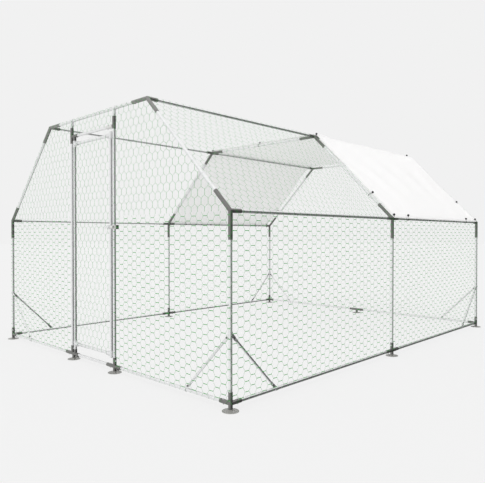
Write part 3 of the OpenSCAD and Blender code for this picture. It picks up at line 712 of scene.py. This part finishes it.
def makeCover():
    bm = bmesh.new()
    nu, nv = cover["grid"]
    bmesh.ops.create_grid(bm, x_segments=nu, y_segments=nv, size=0.5)
    bmesh.ops.translate(bm, verts=bm.verts, vec=(0, 0.5, 0))
    bmesh.ops.scale(bm, verts=bm.verts, vec=(2 * halfCloth, run["coverL"], 1))
    for step in (cover["hem"], cover["hem"] + cover["hemStep"]):  # edges for the turned hems
        lines = [((s * (halfCloth - step), 0, 0), xAxis) for s in sides]
        lines += [((0, y, 0), yAxis) for y in (step, run["coverL"] - step)]
        for place, normal in lines:
            bmesh.ops.bisect_plane(bm, geom=everything(bm), dist=tiny, plane_co=place, plane_no=normal)
    uv = bm.loops.layers.uv.new("cloth")
    for face in bm.faces:
        for loop in face.loops:
            loop[uv].uv = loop.vert.co.xy
    for v in bm.verts:
        u, y = v.co.xy
        point, out = coverLine(u)
        inHem = min(halfCloth - abs(u), y, run["coverL"] - y) < cover["hem"] + 10 * tiny
        v.co = point + yAxis * y + out * (arcR + clothLift(u, y) + cover["hemRise"] * inHem)
    bmesh.ops.recalc_face_normals(bm, faces=bm.faces)
    if sum(f.normal.z for f in bm.faces) < 0:
        bmesh.ops.reverse_faces(bm, faces=bm.faces)
    cloth = makePiece(bm, "rain_cover_cloth", "frame", coatedCloth, ["rain_cover"])
    skin = cloth.modifiers.new("thickness", "SOLIDIFY")
    skin.thickness, skin.offset = cover["thick"], 1
    return cloth


cloth = makeCover()
2 * halfCloth
print("cover:", round(2 * halfCloth, 3), "by", run["coverL"])

# Ball ties: a ball on the cloth, an eyelet, and the elastic round the tube below
tie = {
    "ballR": 0.01, "ballGap": 0.0004, "dimpleR": 0.0035, "dimpleDeep": 0.002,
    "cordR": 0.0017, "loopSteps": 12, "loopSpread": 0.0008,
}
eyelet = {"ringR": 0.0062, "radial": 0.0018, "high": 0.0009, "steps": 20}


def tiePlaces():  # point on the cloth, outward side, a point on the tube's axis, its direction and radius
    for u, y in tiesFlat:
        point, out = coverLine(u)
        surface = point + yAxis * y + out * (arcR + cover["thick"])
        side, arch = math.copysign(1, u), 0 if y < run["coverL"] / 2 else hl
        tubeR = run["sleeveR"] if abs(y - arch) < run["railSleeve"] else run["tubeR"]
        if abs(abs(u) - (slopeStart + slopeL - tieIn)) < tiny:
            yield surface, out, eavePoint(side, y), yAxis, tubeR
        elif abs(abs(u) - crest) < tiny:
            yield surface, out, ridgePoint(side, y), yAxis, tubeR
        else:
            yield surface, out, point + yAxis * arch, slopeDir(side) if u else xAxis, run["tubeR"]


def elasticLoop(start, out, centre, axis, tubeR):  # a closed line from the eyelet round the tube
    reach = tubeR + tie["cordR"]
    back = start - centre
    back -= axis * back.dot(axis)
    apart = back.length
    head = back.normalized()
    across = axis.cross(head)
    lean = math.acos(min(1.0, reach / apart))
    points = [start + out * tie["ballR"]]
    steps = tie["loopSteps"]
    half = steps // 2
    for i in range(steps + 1):
        turn = lean + (2 * math.pi - 2 * lean) * i / steps
        spoke = (head * math.cos(turn) + across * math.sin(turn)) * reach
        points.append(centre + spoke + axis * tie["loopSpread"] * (i - half) / half)
    return points


def makeTies():
    balls, rings, loops = bmesh.new(), bmesh.new(), bmesh.new()
    ring = asMesh(ringShape(eyelet), "eyelet")
    path = bpy.data.curves.new("loops", "CURVE")
    path.dimensions, path.bevel_depth, path.bevel_resolution = "3D", tie["cordR"], 2
    path.use_fill_caps = True
    for surface, out, centre, axis, tubeR in tiePlaces():
        middle = surface + out * (tie["ballR"] + tie["ballGap"])
        made = bmesh.ops.create_uvsphere(
            balls, u_segments=20, v_segments=12, radius=tie["ballR"], matrix=stand(middle, out),
        )["verts"]
        top = surface + out * (2 * tie["ballR"])
        for v in made:  # the dimple where the elastic is knotted in
            if (v.co - top).length < tie["dimpleR"]:
                v.co -= out * tie["dimpleDeep"]
        addCopy(rings, ring, stand(surface, out))
        points = elasticLoop(surface, out, centre, axis, tubeR)
        spline = path.splines.new("POLY")
        spline.points.add(len(points) - 1)
        for p, co in zip(spline.points, points):
            p.co = (*co, 1)
        spline.use_cyclic_u = True
    makePiece(balls, "ball_tie_balls", "frame", blackBall, ["ball_ties"])
    makePiece(rings, "cover_eyelets", "frame", brightZinc)
    temp = newObject("loops", path)
    bpy.context.view_layer.update()
    mesh = bpy.data.meshes.new_from_object(temp.evaluated_get(bpy.context.evaluated_depsgraph_get()))
    loops.from_mesh(mesh)
    bpy.data.objects.remove(temp)
    for spare in (mesh, ring):
        bpy.data.meshes.remove(spare)
    makePiece(loops, "ball_tie_elastics", "frame", blackBall)


makeTies()
print("ball ties:", len(tiesFlat))

# Screws in the upper sleeves, bolts through the feet, arms, clamps, ears and braces, wing screws
# under the door's feet, and the rolled mouths of the door's clamps
bolt = {
    "hexR": 0.0052, "headH": 0.0036, "washerR": 0.0062, "washerH": 0.0009, "nutH": 0.0042,
    "shankR": 0.0028, "stub": 0.0022, "chamfer": 0.0006,
    "sleeveGrip": 0.0248, "armGrip": 0.0244, "earGrip": 0.009, "braceGrip": 0.0073,
}
screw = {
    "headR": 0.0046, "headH": 0.0022, "round": 0.0008, "into": 0.003,
    "socketR": 0.0023, "socketWall": 0.0002, "socketD": 0.0014,
}
wing = {
    "hubR": 0.0055, "hubH": 0.009, "hubTaper": 0.8, "shankR": 0.0032, "into": 0.003,
    "lobeR": 0.0085, "thick": 0.0034, "edge": 0.001, "lobeScale": (1.1, 1, 0.85),
    "lobeLean": 0.35, "lobeOut": 0.0135, "lobeDown": 0.8,
}
mouth = {"ringR": 0.0136, "radial": 0.0017, "high": 0.0028, "steps": 24, "place": 0.0515}
at = {  # how far along its sleeve, arm or brace each of them is
    "footUp": 0.042, "footSide": 0.058, "eaveDown": 0.15, "eaveSlope": 0.159, "railSide": 0.068,
    "ridgeSide": 0.151, "ridgeSlope": 0.144, "lintelUp": 0.048, "lintelArm": (0.042, 0.08),
    "postTop": 0.034, "clampArm": 0.036, "ear": 0.038, "hingeWing": 0.074, "latchWing": 0.037,
    "brace": 0.4, "tab": 0.038, "lugMid": 0.00165,
}


def roundBar(bm, segments, radius, low, high, radiusLow=None):
    return bmesh.ops.create_cone(
        bm, cap_ends=True, segments=segments, radius1=radiusLow or radius, radius2=radius,
        depth=high - low, matrix=Matrix.Translation((0, 0, (low + high) / 2)),
    )["verts"]


def boltShape(grip):  # along Z: the head above the grip, the nut and the shank's end below
    bm = bmesh.new()
    seat = grip / 2 + bolt["washerH"]
    headTop, nutEnd = seat + bolt["headH"], -seat - bolt["nutH"]
    roundBar(bm, 8, bolt["shankR"], nutEnd - bolt["stub"], seat)
    roundBar(bm, 12, bolt["washerR"], grip / 2, seat)
    roundBar(bm, 12, bolt["washerR"], -seat, -grip / 2)
    hexes = roundBar(bm, 6, bolt["hexR"], seat, headTop) + roundBar(bm, 6, bolt["hexR"], nutEnd, -seat)
    ends = [v for v in hexes if min(abs(v.co.z - headTop), abs(v.co.z - nutEnd)) < tiny]
    ease(bm, [e for e in bm.edges if all(v in ends for v in e.verts)], bolt["chamfer"])
    return bm


def screwShape():  # along Z, its head above the sleeve
    bm = bmesh.new()
    top = screw["headH"]
    roundBar(bm, 12, screw["headR"], -screw["into"], top)
    ease(bm, [e for e in bm.edges if all(abs(v.co.z - top) < tiny for v in e.verts)], screw["round"])
    socket = max(bm.faces, key=lambda f: f.calc_center_median().z)
    for thickness in (screw["headR"] - screw["round"] - screw["socketR"], screw["socketWall"]):
        bmesh.ops.inset_individual(bm, faces=[socket], thickness=thickness)
    bmesh.ops.translate(bm, verts=socket.verts[:], vec=(0, 0, -screw["socketD"]))
    return bm


def wingShape():  # points up into a sleeve, with its hub and two lobes below
    bm = bmesh.new()
    roundBar(bm, 12, wing["hubR"], -wing["hubH"], 0, wing["hubR"] * wing["hubTaper"])
    roundBar(bm, 8, wing["shankR"], 0, wing["into"])
    for s in sides:
        lobe = roundBar(bm, 12, wing["lobeR"], -wing["thick"] / 2, wing["thick"] / 2)
        own = [e for e in bm.edges if all(v in lobe for v in e.verts)]
        rims = [e for e in own if any(len(f.verts) > 4 for f in e.link_faces)]
        rounded = ease(bm, rims, wing["edge"])
        lobe = list({v for f in rounded["faces"] for v in f.verts} | {v for v in lobe if v.is_valid})
        bmesh.ops.rotate(bm, verts=lobe, matrix=Matrix.Rotation(math.pi / 2, 3, "X"))
        bmesh.ops.scale(bm, verts=lobe, vec=wing["lobeScale"])
        bmesh.ops.rotate(bm, verts=lobe, matrix=Matrix.Rotation(s * wing["lobeLean"], 3, "Y"))
        bmesh.ops.translate(bm, verts=lobe, vec=(s * wing["lobeOut"], 0, -wing["hubH"] * wing["lobeDown"]))
    return bm


def sleeveLegs():  # place on each sleeve's axis, its direction and the sides where the nets are
    legs = []
    for side in sides:
        xOut, roofOut, roofUp = side * xAxis, slopeOut(side), slopeDir(side)
        for y in (-hl, 0, hl):
            base, eave, ridge = basePoint(side, y), eavePoint(side, y), ridgePoint(side, y)
            yOut = [yAxis * math.copysign(1, y)] if y else []
            legs += [
                (base, up, at["footUp"], [xOut] + yOut),
                (eave, -up, at["eaveDown"], [xOut] + yOut),
                (eave, roofUp, at["eaveSlope"], [roofOut] + yOut),
                (ridge, -roofUp, at["ridgeSlope"], [roofOut] + yOut),
                (ridge, -xOut, at["ridgeSide"], [up] + yOut),
            ]
            for along in [-yOut[0]] if y else [-yAxis, yAxis]:
                legs += [
                    (base, along, at["footSide"], [xOut]),
                    (eave, along, at["railSide"], [xOut, roofOut]),
                    (ridge, along, at["railSide"], [up, roofOut]),
                ]
            if y:
                legs += [(base, -xOut, at["footSide"], yOut)]
        foot = Vector((run["doorMid"] + side * run["doorX"], -hl, run["base"]))
        head, top = (Vector((foot.x, -hl, run[z])) for z in ("lintel", "ridge"))
        legs += [
            (foot, up, at["footUp"], [-yAxis]),
            (foot, -xAxis, at["footSide"], [-yAxis]),
            (Vector((0, hl, run["base"])), xOut, at["footSide"], [yAxis]),
            (head, up, at["lintelUp"], [-yAxis]),
            (top, -up, at["postTop"], [-yAxis]),
        ]
    for place, leg, distance, outs in legs:
        yield place + leg * distance, leg, outs


def braceBolts():  # place and outward axis of each bolt through a brace's flat end
    for side in sides:
        for y in (-hl, hl):
            yOut = yAxis * math.copysign(1, y)
            for level, out in ((-side * xAxis, yOut), (-yOut, side * xAxis)):
                top = basePoint(side, y) + up * at["brace"]
                along = (level - up).normalized()
                for d in (at["tab"], at["brace"] * math.sqrt(2) - at["tab"]):
                    yield top + along * d + out * at["lugMid"], out


def makeFasteners():
    made = {grip: boltShape(bolt[grip]) for grip in bolt if grip.endswith("Grip")}
    made.update(screw=screwShape(), wing=wingShape(), mouth=ringShape(mouth))
    shapes = {key: asMesh(bm, key) for key, bm in made.items()}
    screws, frameBolts, doorBolts, wings, mouths = (bmesh.new() for i in range(5))
    for place, leg, outs in sleeveLegs():
        if place.z < run["eave"] / 2:  # bolts through the feet
            axis = (outs[0] - outs[1]).normalized() if len(outs) > 1 else leg.cross(outs[0])
            addCopy(frameBolts, shapes["sleeveGrip"], stand(place, axis))
        else:
            inward = -sum(outs, Vector()).normalized()
            addCopy(screws, shapes["screw"], stand(place + inward * run["sleeveR"], inward))
    for place, axis in braceBolts():
        addCopy(screws, shapes["braceGrip"], stand(place, axis))
    for side in sides:
        post, stile = (run["doorMid"] + side * run[x] for x in ("doorX", "stileX"))
        for d in at["lintelArm"][side < 0:]:  # the hinge side has the second one only
            addCopy(frameBolts, shapes["sleeveGrip"], stand((post - side * d, -hl, run["lintel"]), up))
        for z in (run["doorBottom"], run["doorTop"]):
            addCopy(doorBolts, shapes["armGrip"], stand((stile - side * at["clampArm"], -hl, z), up))
            addCopy(mouths, shapes["mouth"], stand((stile - side * mouth["place"], -hl, z), xAxis))
    latchPost, latchStile = run["doorMid"] + run["doorX"], run["doorMid"] + run["stileX"]
    addCopy(screws, shapes["earGrip"], stand((latchPost + at["ear"], -hl, run["latch"]), -yAxis))
    addCopy(doorBolts, shapes["earGrip"], stand((latchStile - at["ear"], -hl, run["latch"]), -yAxis))
    for x in (run["doorMid"] - run["doorX"] + at["hingeWing"], latchPost + at["latchWing"]):
        addCopy(wings, shapes["wing"], Matrix.Translation((x, -hl, run["base"] - run["sleeveR"])))
    for mesh in shapes.values():
        bpy.data.meshes.remove(mesh)
    makePiece(screws, "sleeve_screws", "frame", dullFitting, smooth=False)
    makePiece(frameBolts, "frame_bolts", "frame", brightZinc, smooth=False)
    makePiece(doorBolts, "door_bolts", "door", brightZinc, smooth=False)
    makePiece(wings, "wing_screws", "frame", dullFitting, smooth=False)
    makePiece(mouths, "clamp_mouths", "door", brightZinc)


makeFasteners()
print("fasteners made")

# Stage and light: a pale floor and sky, and what the bright metal mirrors
stage = {
    "floorR": 60, "floorSides": 64, "floor": (0.872, 0.872, 0.872, 1), "flatShare": 0.88,
    "back": (0.88, 0.88, 0.88, 1), "sky": (0.97, 0.97, 0.97, 1),
    "sun": 0.95, "sunFrom": (0.35, -0.5, 0.9), "sunAngle": 50,
    "darkSide": (0.59, 0.81, 0.0),
    "mirror": [(0.0, 0.09), (0.12, 0.14), (0.3, 0.3), (0.58, 0.42), (0.68, 0.85), (0.76, 1.0), (1.0, 0.9)],
    "mirrorSky": (0.32, 0.6), "mirrorTop": (1.06, 1.06, 1.06, 1),
    "mirrorFloor": (-0.3, -0.6), "floorX": (0.5, 0.3), "floorY": (0.65, 0.5),
}


def makeFloor():
    bm = bmesh.new()
    bmesh.ops.create_circle(bm, cap_ends=True, segments=stage["floorSides"], radius=stage["floorR"])
    floor = newObject("floor", asMesh(bm, "floor"))
    floor.visible_glossy = False
    material, pen = newFinish("paleFloor")
    cameraRay = pen.node("LightPath")
    matt = pen.node("BsdfDiffuse", None, {"Color": stage["floor"]})
    glow = pen.node("Emission", None, {"Color": stage["floor"]})
    close(pen, pen.node("MixShader", None, {0: cameraRay * stage["flatShare"], 1: matt, 2: glow}))
    floor.data.materials.append(material)


def makeSky():
    world = bpy.data.worlds.new("studio")
    bpy.context.scene.world = world
    world.use_nodes = True
    world.node_tree.nodes.clear()
    pen = Line(world.node_tree)
    cameraRay = pen.node("LightPath")
    glossyRay = cameraRay.output("Is Glossy Ray")
    direction = pen.node("TexCoord")
    aim = Vector(stage["darkSide"]).normalized()
    facing = pen.node("VectorMath", {"operation": "DOT_PRODUCT"}, {0: direction, 1: aim}, out=1)
    mirror = pen.node("ValToRGB", {"stops": stage["mirror"]}, {0: 0.5 - facing * 0.5})
    parts = pen.node("SeparateXYZ", None, {0: direction})
    x, y, z = (parts.output(i) for i in range(3))
    ground = z.between(*stage["mirrorFloor"]) * x.between(*stage["floorX"]) * y.between(*stage["floorY"])
    mirror = z.between(*stage["mirrorSky"]).blend(ground.blend(mirror, stage["floor"]), stage["mirrorTop"])
    light = cameraRay.blend(glossyRay.blend(stage["sky"], mirror), stage["back"])
    pen.node("OutputWorld", None, {"Surface": pen.node("Background", None, {"Color": light})})


def makeSun():
    lamp = bpy.data.lights.new("sun", "SUN")
    lamp.energy, lamp.angle = stage["sun"], math.radians(stage["sunAngle"])
    sun = newObject("sun", lamp)
    sun.rotation_euler = Vector(stage["sunFrom"]).to_track_quat("Z", "Y").to_euler()
    sun.visible_glossy = False


makeFloor()
makeSky()
makeSun()
print("stage set")
